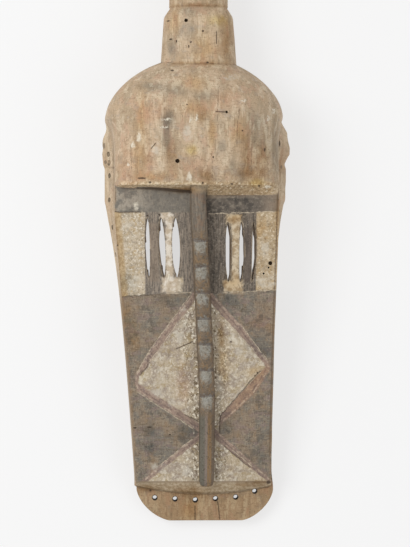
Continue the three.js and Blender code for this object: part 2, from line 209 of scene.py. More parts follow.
# Small dark spots, pale flakes and rubbed pale patches, as places with half sizes.
DARK_SPOTS = [
    (47.3, 422.2, 1, 0.9), (16.2, 393.9, 0.9, 1.3), (71.8, 402.6, 0.9, 2.2), (-50.5, 367.5, 1.5, 1.2),
    (-59.2, 372, 5, 0.9), (5.4, 366.8, 1.2, 1.2), (36.5, 365.9, 1.6, 0.9), (65.6, 364, 1.4, 1),
    (-26.5, 487.5, 1.8, 1.2), (-11.7, 449.5, 0.8, 0.8), (-6.3, 518.9, 0.8, 1.2), (-27.7, 522.3, 1.6, 1),
    (11.4, 496.9, 1.3, 1.1), (-21.8, 519.9, 0.9, 1.5), (-30.4, 542.4, 1.6, 0.8), (6.6, 530.7, 1.2, 1.2),
    (-8.6, 514, 0.7, 1.8), (-53, 332.5, 1.1, 1.1), (-40, 333.5, 1.1, 1), (37.7, 196.7, 1.2, 0.8),
    (66.7, 163.1, 1, 1), (-27.9, 95.6, 1, 0.9), (-50.3, 103.7, 2.6, 0.8), (-65.9, 103, 1.8, 1),
    (80.1, 42.6, 2.4, 2.4), (-48.7, 33.2, 1.2, 1.2), (92.7, 339.6, 1, 1.6), (-84.9, 300.8, 0.9, 0.9),
    (93, 413.5, 1.1, 3.6), (-99.6, 411, 1.2, 3.4), (-98, 393, 1.4, 2.2), (95.5, 388, 1, 2.2),
]
PALE_SPOTS = [
    (-62.3, 415.5, 2.6, 5), (-68.7, 407, 1.8, 3.6), (-73.2, 387.5, 1.3, 3.4), (-8.9, 374.2, 2.6, 5.5),
    (-8.2, 432.5, 1.4, 3.4), (-0.8, 434.7, 1.3, 3.6), (48.6, 454.4, 3.6, 1.1), (81.6, 444.9, 1.8, 3),
    (75.7, 436.9, 1.2, 3.2), (-65, 342.8, 2.6, 4.2), (-2, 97.7, 1.3, 2), (-33, 434, 7, 0.8),
    (75, 363, 4, 2), (-30, 266, 1.5, 5), (-36, 425, 6, 0.8), (-59.6, 157, 2.6, 3.6),
]
PALE_PATCHES = [
    (-17.5, 203, 5, 8), (46, 190, 5, 10), (61.5, 178, 5, 7.5), (-40, 158, 6, 9), (-39, 142.5, 10, 5),
    (-14, 222, 4, 14), (38, 205, 4, 9), (26, 150, 4, 12), (-22, 130, 8, 6), (-40, 60, 9, 6),
    (-10, 56, 6, 6), (40, 56, 8, 6), (-75, 320, 6, 12), (-66, 262, 8, 8), (76, 262, 12, 8),
    (74, 300, 5, 14), (-12, 420, 6, 9), (-46, 405, 5, 12), (36, 480, 9, 3),
]
# Scratches in the paint and cracks in the wood, from end to end.
PALE_LINES = [
    ((-5.3, 249.9), (-51.2, 186.1)), ((-51.2, 186.1), (-64.1, 163.3)), ((-15, 224.9), (-52, 172.8)),
    ((29.1, 223.3), (65, 184.5)), ((50, 213), (77, 177.5)), ((-63.5, 142.5), (-3.1, 102)),
    ((65, 163.5), (40, 135.5)), ((-3.7, 90.8), (-40, 61)), ((-46, 248), (-5, 250.6)),
    ((28.4, 249.8), (86, 253)), ((12, 334.6), (84, 337)), ((40, 78.5), (62, 60)),
]
DARK_LINES = [
    ((-86, 245.4), (-34, 248.6)), ((70, 166), (27, 116.5)), ((26.3, 117), (26, 97)),
    ((-60, 160), (-50, 175)), ((30.5, 83), (60, 59)), ((-11.4, 117.5), (3, 109.8)),
    ((-92, 336.4), (-60, 336)),
]
CRACKS = [
    ((-21.7, 189.1), (-3.5, 197)), ((18.5, 442), (30, 441.6)), ((-49.6, 403), (-44.5, 409)),
    ((21.2, 530.7), (21.2, 516.8)), ((0.1, 16), (0.3, 0)), ((25, 21), (27.4, 1)),
]
FAINT_CRACKS = [
    ((41.9, 433.7), (41.5, 407)), ((44.3, 452.6), (43, 434)), ((15.4, 393.3), (15.4, 369)),
    ((58, 430), (57, 372)), ((-72, 420), (-70, 380)), ((22, 470), (20, 420)),
]


def clamp01(t):
    return np.clip(t, 0.0, 1.0)


def smooth(t):
    t = clamp01(t)
    return t * t * (3 - 2 * t)


def mix(a, b, t):
    return a + (b - a) * t


def rounded(share, power):
    """From 1 in the middle to 0 at a share of 1, along a quarter of an oval; more power is squarer."""
    return (1 - share**power) ** (1 / power)


def dome_share(y, rise=DOME_RISE, power=DOME_POWER):
    return rounded(np.maximum(y - SHOULDER, 0.0) / rise, power)


def sway(y):
    return SWAY * clamp01((SWAY_FROM - y) / (SWAY_FROM - SWAY_TO))


def up(y):
    return clamp01((y - CHEEKS_FROM) / (TEMPLES - CHEEKS_FROM))


def board_depth(y):
    return mix(BOARD_CHIN, BOARD_BROW, (y - CHIN_LEDGE) / (BROW - CHIN_LEDGE))


def below_ledge(y):
    return clamp01((CHIN_LEDGE - y) / (CHIN_LEDGE - CHIN_FOOT))


def board_front(y):
    """The board's front, with its slope at the chin down to the flange."""
    return mix(board_depth(y), FLANGE_THICK + 1, below_ledge(y))


def flare_width(y, side):
    fades = [1 - smooth((y - low) / (high - low)) for low, high in (FLARE_ENDS_LEFT, FLARE_ENDS_RIGHT)]
    return mix(FLARE_CHIN, FLARE_BROW, up(y) ** FLARE_POWER) * np.where(side < 0, *fades)


def flare_depth(y):
    return np.minimum(FLARE_DEPTH, 0.6 * board_front(np.minimum(y, BROW)))


def lobe(y, side):
    swelling = [np.interp(y, *np.array(stations, float).T) for stations in (LOBE_LEFT, LOBE_RIGHT)]
    return np.where(side < 0, *swelling)


def wall_half(y):
    t = up(y)
    rim = RIM_CHIN + CHEEK_WIDENING * t**1.1 + TEMPLE_WIDENING * t**5
    flare = mix(FLARE_CHIN, FLARE_BROW, t**FLARE_POWER)
    swell = clamp01((y - SWELL_FROM) / (SHOULDER - SWELL_FROM))
    return (rim - flare + SHOULDER_SWELL * swell**2) * dome_share(y)


def left_shoulder(y):
    return mix(1.0, LEFT_SHOULDER, smooth((y - FOREHEAD_PEAK) / (SHOULDER - FOREHEAD_PEAK)))


def dome_depth(y):
    below = clamp01((FOREHEAD_PEAK - y) / (FOREHEAD_PEAK - BROW))
    low = DOME_DEPTH - (DOME_DEPTH - BROW_DEPTH) * below**2
    return np.where(y > SHOULDER, mix(CROWN_DEPTH, DOME_DEPTH, dome_share(y)), low)


def dome_wall_top(y):
    return mix(CROWN_DEPTH, WALL_TOP_AT_BROW, clamp01((SHOULDER - y) / (SHOULDER - BROW)) ** 1.5)


def back_depth(y):
    t = np.maximum(0.0, y - BACK_RISE_FROM) / BACK_RISE
    return CROWN_DEPTH * (1 - np.sqrt(1 - t * t))


def brow_drop(side):
    return np.where(side < 0, mix(BROW_DROP_MIDDLE, BROW_DROP_LEFT, -side), BROW_DROP_RIGHT)


def ridge_x(y):
    return mix(RIDGE_CHIN_X, RIDGE_BROW_X, clamp01((y - FIRST_NOTCH) / (TEMPLES - FIRST_NOTCH)))


def front_height(x, y):
    """How far the front stands above the rim plane beside the ridge."""
    if y > SEAM:
        return CROWN_DEPTH + DRUM_HALF_DEPTH * rounded(abs(x - DRUM_X) / DRUM_HALF, DRUM_ROUND)
    if y < BROW:
        return float(board_depth(y))
    side = abs(x) / float(wall_half(y))
    return float(mix(dome_wall_top(y), dome_depth(y), rounded(side, DOME_ROUND)))


# Modelling helpers.
def only(piece):
    bpy.ops.object.select_all(action="DESELECT")
    piece.select_set(True)
    bpy.context.view_layer.objects.active = piece


def points_of(piece):
    flat = np.empty(3 * len(piece.data.vertices))
    piece.data.vertices.foreach_get("co", flat)
    return flat.reshape(-1, 3)


def set_points(piece, points):
    piece.data.vertices.foreach_set("co", points.ravel())
    piece.data.update()


def tube(name, around, along, place):
    """A sheet rolled round until its side edges meet, then closed at both ends."""
    bpy.ops.object.select_all(action="DESELECT")
    bpy.ops.mesh.primitive_grid_add(x_subdivisions=around, y_subdivisions=along, size=2)
    piece = bpy.context.object
    piece.name = name
    flat = points_of(piece)
    column = np.rint((flat[:, 0] + 1) / 2 * around).astype(int)
    row = np.rint((flat[:, 1] + 1) / 2 * along).astype(int)
    set_points(piece, place(column, row) * MM)
    bpy.ops.object.mode_set(mode="EDIT")
    bpy.ops.mesh.select_all(action="SELECT")
    bpy.ops.mesh.remove_doubles(threshold=0.002 * MM)
    bpy.ops.mesh.fill_holes(sides=0)
    bpy.ops.mesh.select_all(action="SELECT")
    bpy.ops.mesh.normals_make_consistent(inside=False)
    bpy.ops.object.mode_set(mode="OBJECT")
    return piece


def combine(piece, others, operation):
    """Joins the others to the piece, or cuts them out of it."""
    group = bpy.data.collections.new(operation.lower())
    bpy.context.scene.collection.children.link(group)
    for other in others:
        for home in list(other.users_collection):
            home.objects.unlink(other)
        group.objects.link(other)
    only(piece)
    modifier = piece.modifiers.new(operation, "BOOLEAN")
    modifier.operation = operation
    modifier.solver = "MANIFOLD"
    modifier.operand_type = "COLLECTION"
    modifier.collection = group
    bpy.ops.object.modifier_apply(modifier=modifier.name)
    for other in others:
        bpy.data.objects.remove(other)
    bpy.data.collections.remove(group)


# The shell: columns run from the middle of the back, up the right wall, over the face and down again.
FRONT_COLUMNS = 140
UNDER, FLARE_ZONE, WALL_ZONE, FRONT = range(4)


def ring_columns(under, flare, wall, front):
    """For each column of a ring: its zone, how far along the zone it is, and its side of the face."""
    right = [(UNDER, i / under, 1.0) for i in range(under)]
    right += [(FLARE_ZONE, i / flare, 1.0) for i in range(flare)]
    right += [(WALL_ZONE, i / wall, 1.0) for i in range(wall)]
    half_front = front // 2
    # the columns of the front stand closer together towards its edges
    across = [1 - (1 - i / half_front) ** 1.35 for i in range(half_front + 1)]
    right += [(FRONT, 1.0, side) for side in reversed(across)]
    left = [(zone, along, -side) for zone, along, side in reversed(right[:-1])]
    return [np.array(values) for values in zip(*(right + left))]


def ring_points(columns, y, dome, section):
    zone, along, side = columns
    half = section["half"] * np.where(side < 0, left_shoulder(y), 1.0)
    flare = section["flare"]
    share = np.where(zone == FLARE_ZONE, along, 1.0)
    out = np.where(zone == WALL_ZONE, 0.0, flare * (1 - share) ** FLARE_CURVE)
    out = np.where(zone == UNDER, flare, out)
    x = np.where(zone == FRONT, side * half, np.sign(side) * (half + out))
    x = np.where(zone == UNDER, x * along, x)
    flare_top = section["back"] + section["flare_depth"]
    z = section["back"] + np.where(zone == FLARE_ZONE, along, 0.0) * section["flare_depth"]
    z = np.where(zone == WALL_ZONE, mix(flare_top, section["wall_top"], along), z)
    crown_board = rounded(np.abs(side), BOARD_ROUND)
    front_board = mix(section["board"] - BOARD_EDGE_DROP, section["board"], crown_board)
    front_dome = mix(section["dome_edge"], section["dome"], rounded(np.abs(side), DOME_ROUND))
    z = np.where(zone == FRONT, mix(front_board, front_dome, dome), z)
    return x, z


def make_shell():
    # rows up the slope at the chin, the board, the brow's overhang, the forehead and the dome
    heights = [
        np.linspace(CHIN_FOOT, CHIN_LEDGE, 8),
        np.arange(CHIN_LEDGE + 1.0, BROW - 0.5, 1.42),
        np.full(11, BROW),
        np.arange(BROW + 1.2, SHOULDER, 1.7),
        SHOULDER + DOME_RISE * 0.965 * np.sin(np.linspace(0.02, math.pi / 2, 36)),
    ]
    y_rows = np.concatenate(heights)
    dome_rows = np.where(y_rows > BROW, 1.0, 0.0)
    ledge = np.flatnonzero(y_rows == BROW)
    dome_rows[ledge] = np.linspace(0.0, 1.0, len(ledge))
    columns = ring_columns(2, 6, 8, FRONT_COLUMNS)
    count = len(columns[0])

    def place(column, row):
        y = y_rows[row]
        dome = dome_rows[row]
        # the ring's last column meets its first one in the middle of the back
        chosen = [values[column % count] for values in columns]
        side = chosen[2]
        section = {
            "half": wall_half(y),
            "flare": flare_width(y, side) + lobe(y, side),
            "flare_depth": flare_depth(y) * dome_share(y),
            "back": back_depth(y),
            "board": board_front(y),
            "dome": dome_depth(y),
            "dome_edge": dome_wall_top(y),
            "wall_top": mix(board_front(y) - BOARD_EDGE_DROP, dome_wall_top(y), dome),
        }
        x, z = ring_points(chosen, y, dome, section)
        fall = brow_drop(side) * smooth((y - (BROW - BROW_BEND)) / BROW_BEND) * (1 - dome)
        hang = CHIN_BOW * (1 - side**2) * below_ledge(y)
        height = y - fall - hang
        return np.stack([x + sway(height), height, z], axis=1)

    return tube("carved_mask", count, len(y_rows) - 1, place)


def make_hollow():
    rise = DOME_RISE - CROWN
    brow = BROW + BROW_WALL
    y_rows = np.concatenate(
        [
            np.linspace(CHIN_LEDGE + CHIN_WALL, brow, 76),
            np.linspace(brow + 1, SHOULDER, 14),
            SHOULDER + rise * 0.99 * np.sin(np.linspace(0.08, math.pi / 2, 20)),
        ]
    )
    columns = ring_columns(1, 4, 4, 48)
    count = len(columns[0])

    def place(column, row):
        y = y_rows[row]
        below = np.minimum(y, SHOULDER)
        share = dome_share(y, rise, 2.0)
        dome = np.where(y > brow + 0.5, 1.0, 0.0)
        board = board_depth(y) - BOARD
        top = mix(CROWN_DEPTH, dome_depth(below) - DOME, share)
        edge = mix(CROWN_DEPTH, dome_wall_top(below) - 8, share)
        chosen = [values[column % count] for values in columns]
        section = {
            "half": (wall_half(below) - WALL) * share,
            "flare": flare_width(below, chosen[2]),
            "flare_depth": np.minimum(FLARE_DEPTH, 0.5 * mix(board, top, dome)) + 5,
            "back": -5.0,
            "board": board,
            "dome": top,
            "dome_edge": edge,
            "wall_top": mix(board - 3, edge, dome),
        }
        x, z = ring_points(chosen, y, dome, section)
        return np.stack([x + sway(y), y, z], axis=1)

    return tube("hollow", count, len(y_rows) - 1, place)


def make_ridge():
    plain_from = FIRST_NOTCH + (NOTCHES - 1) * NOTCH_PITCH + TOOTH_RUN_OUT
    stations = KEEL_END + [(FIRST_NOTCH - NOTCH_PITCH / 2, RIDGE_HEIGHT, 1.0)]
    for i in range(NOTCHES):
        notch = FIRST_NOTCH + i * NOTCH_PITCH
        stations.append((notch, RIDGE_HEIGHT - TOOTH_DEPTH, 1.0))
        if i + 1 < NOTCHES:
            stations.append((notch + NOTCH_PITCH / 2, RIDGE_HEIGHT, 1.0))
    stations += [(plain_from, RIDGE_TOP_HEIGHT, 1.0), (BROW + RIDGE_SINK, RIDGE_TOP_HEIGHT, 1.0)]
    at, height, width = (np.array(values, float) for values in zip(*stations))
    y_rows = np.unique(np.concatenate([np.arange(KEEL_END[0][0], BROW + RIDGE_SINK, 1.55), at]))
    # columns where the section turns: right foot, right shoulder, crest, left shoulder, left foot
    corners = [0, 10, 16, 22, 32, 36]

    def place(column, row):
        y = y_rows[row]
        tall = np.interp(y, at, height)
        half = RIDGE_HALF * np.interp(y, at, width)
        column = column % corners[-1]
        foot = board_depth(y) - RIDGE_SINK
        shoulder = board_depth(y) + np.minimum(0.75 * tall, RIDGE_SHOULDER)
        crest = board_depth(y) + tall
        x_share = np.interp(column, corners, [1.0, 0.86, 0.0, -0.86, -1.0, 1.0])
        rise = np.interp(column, corners, [0, 1, 2, 1, 0, 0])
        roundness = mix(1.0, TOOTH_ROUNDNESS, smooth((y - KEEL_TO) / 8))
        crown = 1 - (2 - np.maximum(rise, 1)) ** roundness
        z = np.where(rise <= 1, mix(foot, shoulder, rise), mix(shoulder, crest, crown))
        return np.stack([ridge_x(y) + half * x_share, y, z], axis=1)

    return tube("ridge", corners[-1], len(y_rows) - 1, place)


def make_flange():
    y_rows = np.concatenate([[0, 0.15, 0.4, 0.8, 1.3, 1.9], np.linspace(2.7, CHIN_LEDGE + 12, 32)])
    # columns where the section turns: front from left to right, right edge, back, left edge
    corners = [0, 96, 102, 116, 122]

    def place(column, row):
        y = y_rows[row]
        column = column % corners[-1]
        down = 1 - np.minimum(y, FLANGE_CORNER) / FLANGE_CORNER
        across = rounded(down, FLANGE_CORNER_POWER)
        middle = mix(FLANGE_FLAT_X, FLANGE_X, across)
        half = mix(FLANGE_FLAT_HALF, FLANGE_HALF, across) - FLANGE_TAPER * smooth((y - 36) / 20)
        x = np.interp(column, corners, [-1, 1, 1, -1, -1])
        z = np.interp(column, corners, [FLANGE_THICK, FLANGE_THICK, 0, 0, FLANGE_THICK])
        return np.stack([middle + half * x, y, z], axis=1)

    return tube("flange", corners[-1], len(y_rows) - 1, place)


def make_crest_foot():
    # heights with the half width and half depth there
    stations = [
        (DRUM_BOTTOM, 42.5, 35.0),
        (SEAM, 41.5, 34.0),
        (DRUM_TOP - 3, 38.3, 32.3),
        (DRUM_TOP, 37.4, 31.4),
        (POST_FOOT - 1, 32.4, 28.0),
        (POST_FOOT, 32.4 - CREASE, 28.0 - CREASE),
        (POST_FOOT + 1, 32.4, 28.0),
        (CREST_TOP - 2.5, 30.9, 26.5),
        (CREST_TOP, 28.4, 24.0),
    ]
    at, half, depth = (np.array(values) for values in zip(*stations))
    rows = np.concatenate([np.arange(DRUM_BOTTOM, CREST_TOP, 2.1), at, np.linspace(545, 560, 12)])
    y_rows = np.unique(rows)
    around = 104

    def place(column, row):
        y = y_rows[row]
        angle = 2 * math.pi * (column % around) / around
        c, s = np.cos(angle), np.sin(angle)
        x = np.interp(y, at, half) * np.sign(c) * np.abs(c) ** (2 / DRUM_ROUND)
        z = np.interp(y, at, depth) * np.sign(s) * np.abs(s) ** (2 / DRUM_ROUND)
        return np.stack([DRUM_X + x, y, CROWN_DEPTH + z], axis=1)

    return tube("crest_foot", around, len(y_rows) - 1, place)


def slit_middle(slit, t, above):
    """The slit's middle line, t being its height from -1 to 1 and above the height over the board."""
    return slit["x"] + slit["lean"] * t + slit["bow"] * (1 - t * t) + slit["drift"] * above / BOARD


def slit_half(slit, t):
    return slit["half"] * np.maximum(1 - t * t, 0) ** SLIT_ROUND


def make_slit(slit):
    bpy.ops.object.select_all(action="DESELECT")
    bpy.ops.mesh.primitive_cylinder_add(vertices=44, radius=1, depth=2, end_fill_type="NGON")
    piece = bpy.context.object
    unit = points_of(piece)
    t = unit[:, 1]
    y = slit["y"] + SLIT_HALF_LENGTH * t
    above = 1.6 * BOARD * unit[:, 2]
    x = slit_middle(slit, t, above) + slit_half(slit, t) * unit[:, 0]
    set_points(piece, np.stack([x, y, board_depth(y) + above], axis=1) * MM)
    return piece


def make_hole(x, y, z, radius, length, axis):
    bpy.ops.object.select_all(action="DESELECT")
    turn = (0, math.pi / 2, 0) if axis == "X" else (0, 0, 0)
    place = (x * MM, y * MM, z * MM)
    bpy.ops.mesh.primitive_cylinder_add(
        vertices=20, radius=radius * MM, depth=length * MM, location=place, rotation=turn
    )
    bpy.ops.object.transform_apply(location=True, rotation=True, scale=True)
    return bpy.context.object


mask = make_shell()
combine(mask, [make_flange(), make_crest_foot()], "UNION")
combine(mask, [make_hollow()], "DIFFERENCE")
combine(mask, [make_ridge()], "UNION")
cutters = [make_slit(slit) for slit in SLITS]
cutters += [make_hole(x, y, FLANGE_THICK / 2, TIE_HOLE_RADIUS, 40, "Z") for x, y in TIE_HOLES]
for y in SIDE_HOLES:
    wall_x = float(sway(y) - wall_half(y))
    cutters.append(make_hole(wall_x, y, SIDE_HOLE_Z, SIDE_HOLE_RADIUS, 60, "X"))
cutters += [make_hole(x, y, front_height(x, y), radius, 11, "Z") for x, y, radius in INSECT_HOLES]
combine(mask, cutters, "DIFFERENCE")


# Wear and tool marks, worked into the finished mesh.
def bumps(points, cell, seed):
    """Smooth random hills from 0 to 1, about one cell across."""
    table = np.random.default_rng(seed).random((32, 32, 32))
    scaled = points / np.array(cell)
    base = np.floor(scaled).astype(int)
    t = smooth(scaled - base)
    total = np.zeros(len(points))
    for corner in np.ndindex(2, 2, 2):
        index = (base + corner) % 32
        weight = np.prod(np.where(np.array(corner) == 1, t, 1 - t), axis=1)
        total += weight * table[tuple(index.T)]
    return total


def from_line(u, v, p, q):
    """Distance from the stretch between p and q."""
    du, dv = q[0] - p[0], q[1] - p[1]
    share = clamp01(((u - p[0]) * du + (v - p[1]) * dv) / (du * du + dv * dv))
    return np.hypot(u - p[0] - share * du, v - p[1] - share * dv)


def vertex_normals(piece):
    flat = np.empty(3 * len(piece.data.vertices))
    piece.data.vertex_normals.foreach_get("vector", flat)
    return flat.reshape(-1, 3)


points = points_of(mask) / MM
normals = vertex_normals(mask)
u, v, z = points.T
height = np.clip(v, CHIN_LEDGE, SHOULDER + 0.98 * DOME_RISE)
across = u - sway(v)
half = wall_half(height) * np.where(across < 0, left_shoulder(height), 1.0)
share_out = clamp01(np.abs(across) / half)
dome_front = mix(dome_wall_top(height), dome_depth(height), rounded(share_out, DOME_ROUND))
front = np.where(v > BROW, dome_front, board_depth(v))
rim_out = flare_width(height, across) * clamp01(1 - z / FLARE_DEPTH) ** FLARE_CURVE
inside = smooth((half - 0.45 * WALL + rim_out - np.abs(across)) / 2) * smooth((front - 8 - z) / 3)
inside *= (v > CHIN_LEDGE + 10) & (v < SHOULDER + 26) & (z > 0.3)
on_dome = smooth((v - BROW) / 3) * (1 - inside)

# hollows left by the tools: broad and fine ones, long ones down the dome, adze marks in the hollow
depth = 0.55 * bumps(points, (30, 34, 30), 1) + 0.25 * bumps(points, (9, 15, 9), 2)
depth += on_dome * 0.55 * bumps(points, (9, 75, 26), 3)
depth += inside * (1.7 * bumps(points, (8, 15, 8), 4) + 0.5 * bumps(points, (4, 6, 4), 5))
# the groove that runs along the foot of the brow
depth += 1.6 * (1 - smooth(from_line(u, v, *BROW_FOOT) / 2.6)) * (z > 70)
for side, y, reach, amount in RIM_NICKS:
    near = (1 - smooth(np.abs(v - y) / reach)) * (1 - smooth(z / 30)) * (across * side > 0)
    depth += amount * near * (1 - inside)
depth *= smooth(z / 2.5) * smooth((CREST_TOP - v) / 4)
points -= normals * depth[:, None]
points[:, 0] *= 1 - RIM_WEAR
set_points(mask, points * MM)


def how_sunken(piece, points, normals):
    """How far each point lies below its surroundings: positive in creases, negative on edges."""
    ends = np.empty(2 * len(piece.data.edges), dtype=int)
    piece.data.edges.foreach_get("vertices", ends)
    first, second = ends.reshape(-1, 2).T
    count = len(points)
    links = np.maximum(np.bincount(ends, minlength=count), 1)

    def halfway_to_neighbours(values):
        total = np.bincount(first, values[second], count) + np.bincount(second, values[first], count)
        return 0.5 * values + 0.5 * total / links

    sunken = np.zeros(count)
    for axis in range(3):
        spread = points[:, axis]
        for _ in range(4):
            spread = halfway_to_neighbours(spread)
        sunken += (spread - points[:, axis]) * normals[:, axis]
    for _ in range(2):
        sunken = halfway_to_neighbours(sunken)
    return sunken


def stain_tints():
    """The tint of all the stains together at each point, white where there is none."""
    tints = np.ones((len(points), 3))
    ragged = 0.45 + 1.1 * bumps(points, (4, 7, 4), 6)
    for x, y, half_x, half_y, tint in STAINS:
        share = np.exp(-(((u - x) / half_x) ** 2) - ((v - y) / half_y) ** 2) * (z > 2) * (1 - inside)
        tints *= 1 - clamp01(1.1 * share * ragged)[:, None] * (1 - np.array(tint))
    return tints


def distance_from_openings():
    """Distance from the nearest slit or tie hole, up to 20 mm."""
    nearest = np.full(len(points), 20.0)
    for slit in SLITS:
        t = (v - slit["y"]) / SLIT_HALF_LENGTH
        beside = np.abs(u - slit_middle(slit, t, z - board_depth(v))) - slit_half(slit, t)
        beyond = np.maximum(np.abs(t) - 1, 0) * SLIT_HALF_LENGTH
        nearest = np.minimum(nearest, np.hypot(np.maximum(beside, 0), beyond))
    for x, y in TIE_HOLES:
        nearest = np.minimum(nearest, np.hypot(u - x, v - y) - TIE_HOLE_RADIUS)
    for y in SIDE_HOLES:
        gap = np.hypot(v - y, z - SIDE_HOLE_Z) - SIDE_HOLE_RADIUS
        nearest = np.where(u < 0, np.minimum(nearest, gap), nearest)
    return nearest


def keep(name, values):
    """Stores one number for each vertex of the mask."""
    layer = mask.data.attributes.new(name, "FLOAT", "POINT")
    layer.data.foreach_set("value", values.astype(np.float32))


down_slope = clamp01((CHIN_LEDGE - v) / (CHIN_LEDGE - CHIN_FOOT + CHIN_BOW))
beside_ridge = mix(front, FLANGE_THICK + 1, down_slope)
ridge_points = (np.abs(u - ridge_x(v)) < RIDGE_HALF + 0.4) & (z > beside_ridge + 0.9)
ridge_points &= (v > KEEL_END[0][0] - 0.4) & (v < BROW + 1)
keep("from_opening", distance_from_openings())
keep("from_ridge", u - ridge_x(v))
keep("from_edge", half - np.abs(across))
keep("above_board", z - board_depth(np.minimum(v, BROW)))
keep("on_ridge", ridge_points * (1 - inside))
keep("inside", inside)
keep("sunk", how_sunken(mask, points, normals))
layer = mask.data.attributes.new("stain", "FLOAT_COLOR", "POINT")
tints = np.column_stack([stain_tints(), np.ones(len(points))])
layer.data.foreach_set("color", tints.astype(np.float32).ravel())
only(mask)
bpy.ops.object.shade_smooth_by_angle(angle=math.radians(38))

low, high = (np.array(corner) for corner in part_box("mask"))
own = points_of(mask)
shift = (low + high) / 2 - (own.min(axis=0) + own.max(axis=0)) / 2
shift[2] = 0
set_points(mask, own + shift)


# Paint. All its sizes are the same millimetres, read from Object coordinates.
class Field:
    """A number or colour over the surface; arithmetic on it adds a node to the material."""

    def __init__(self, tree, socket):
        self.tree = tree
        self.socket = socket

    def node(self, kind, settings=None, values=None, output=0):
        """Adds a node with its settings and the values or links of its sockets."""
        made = self.tree.nodes.new(kind)
        for name, setting in (settings or {}).items():
            setattr(made, name, setting)
        for name, value in (values or {}).items():
            if isinstance(value, Field):
                self.tree.links.new(value.socket, made.inputs[name])
            else:
                made.inputs[name].default_value = value
        return Field(self.tree, made.outputs[output])

    def maths(self, operation, *values):
        return self.node("ShaderNodeMath", {"operation": operation}, dict(enumerate(values)))

    def fraction(self):
        return self.maths("FRACT", self)

    def __add__(self, other):
        return self.maths("ADD", self, other)

    def __radd__(self, other):
        return self.maths("ADD", other, self)

    def __sub__(self, other):
        return self.maths("SUBTRACT", self, other)

    def __rsub__(self, other):
        return self.maths("SUBTRACT", other, self)

    def __mul__(self, other):
        return self.maths("MULTIPLY", self, other)

    def __rmul__(self, other):
        return self.maths("MULTIPLY", other, self)

    def __truediv__(self, other):
        return self.maths("DIVIDE", self, other)

    def __abs__(self):
        return self.maths("ABSOLUTE", self)

    def least(self, other):
        return self.maths("MINIMUM", self, other)

    def most(self, other):
        return self.maths("MAXIMUM", self, other)

    def vector(self, operation, *values, output=0):
        settings = {"operation": operation}
        return self.node("ShaderNodeVectorMath", settings, dict(enumerate((self, *values))), output)

    def part(self, output):
        return self.node("ShaderNodeSeparateXYZ", None, {0: self}, output)

    def ramp(self, low, high):
        """0 below low, 1 above high, smooth between."""
        settings = {"interpolation_type": "SMOOTHSTEP", "clamp": False}
        return self.node("ShaderNodeMapRange", settings, {0: self, 1: low, 2: high, 3: 0.0, 4: 1.0})


def tone(red, green, blue):
    """A colour as the eye reads it from 0 to 255, made linear."""
    share = [channel / 255 for channel in (red, green, blue)]
    linear = [c / 12.92 if c <= 0.04045 else ((c + 0.055) / 1.055) ** 2.4 for c in share]
    return (*linear, 1.0)


wood = bpy.data.materials.new("painted_wood")
wood.use_nodes = True
shader = wood.node_tree.nodes["Principled BSDF"]
start = Field(wood.node_tree, None)
object_place = start.node("ShaderNodeTexCoord", output="Object")
facing = start.node("ShaderNodeTexCoord", output="Normal")
to_drawing = tuple(-shift / MM)
place = object_place.vector("MULTIPLY_ADD", (1 / MM, 1 / MM, 1 / MM), to_drawing)
x_here, y_here, z_here = (place.part(axis) for axis in range(3))
faces_front = facing.part(2).ramp(0.15, 0.5)
faces_out = facing.part(2).ramp(0.05, 0.2)


def attribute(name, output="Fac"):
    return start.node("ShaderNodeAttribute", {"attribute_name": name}, output=output)


def noise(cell, detail=2.0, roughness=0.5, seed=0.0):
    """Cloudy numbers round 0.5, with lumps of the given width, height and depth."""
    size = cell if isinstance(cell, tuple) else (cell, cell, cell)
    scaled = place.vector("MULTIPLY_ADD", tuple(1 / s for s in size), (seed, seed, seed))
    values = {"Vector": scaled, "Scale": 1.0, "Detail": detail, "Roughness": roughness}
    return start.node("ShaderNodeTexNoise", None, values)


def blend(share, under, over):
    """Lays one colour over another by a share."""
    return start.node("ShaderNodeMix", {"data_type": "RGBA"}, {0: share, 6: under, 7: over}, 2)


def tinted(colour, tint, share=1.0):
    """Multiplies a colour by a tint."""
    settings = {"data_type": "RGBA", "blend_type": "MULTIPLY"}
    return start.node("ShaderNodeMix", settings, {0: share, 6: colour, 7: tint}, 2)


def moved(reach, cell, first_seed, second_seed):
    """The place on the front of the mask, pushed about by up to half the reach."""
    across = noise(cell, 3.0, 0.6, first_seed) - 0.5
    along = noise(cell, 3.0, 0.6, second_seed) - 0.5
    sides = {0: x_here + reach * across, 1: y_here + reach * along, 2: 1.0}
    return start.node("ShaderNodeCombineXYZ", None, sides)


# A pattern is drawn exactly, brushed with a slightly wavering hand, or torn at its edges.
exact = start.node("ShaderNodeCombineXYZ", None, {0: x_here, 1: y_here, 2: 1.0})
brushed = moved(3.6, 7.0, 3.1, 8.7)
torn = moved(9.0, 4.5, 60.0, 66.0)


def line(p, q, on=None):
    """Distance from the line through p and q, positive to the left of the way from p to q."""
    length = math.hypot(q[0] - p[0], q[1] - p[1])
    a, b = (p[1] - q[1]) / length, (q[0] - p[0]) / length
    return (on or brushed).vector("DOT_PRODUCT", (a, b, -(a * p[0] + b * p[1])), output="Value")


def outline(corners, on=None):
    """Distance inside a convex outline whose corners run counter-clockwise."""
    sides = [line(p, q, on) for p, q in zip(corners, corners[1:])]
    distance = sides[0]
    for side in sides[1:]:
        distance = distance.least(side)
    return distance


def rectangle(left, low, right, top, on=None):
    return outline([(left, top), (left, low), (right, low), (right, top), (left, top)], on)


def cover(distance, soft=0.7):
    return distance.ramp(-soft, soft)


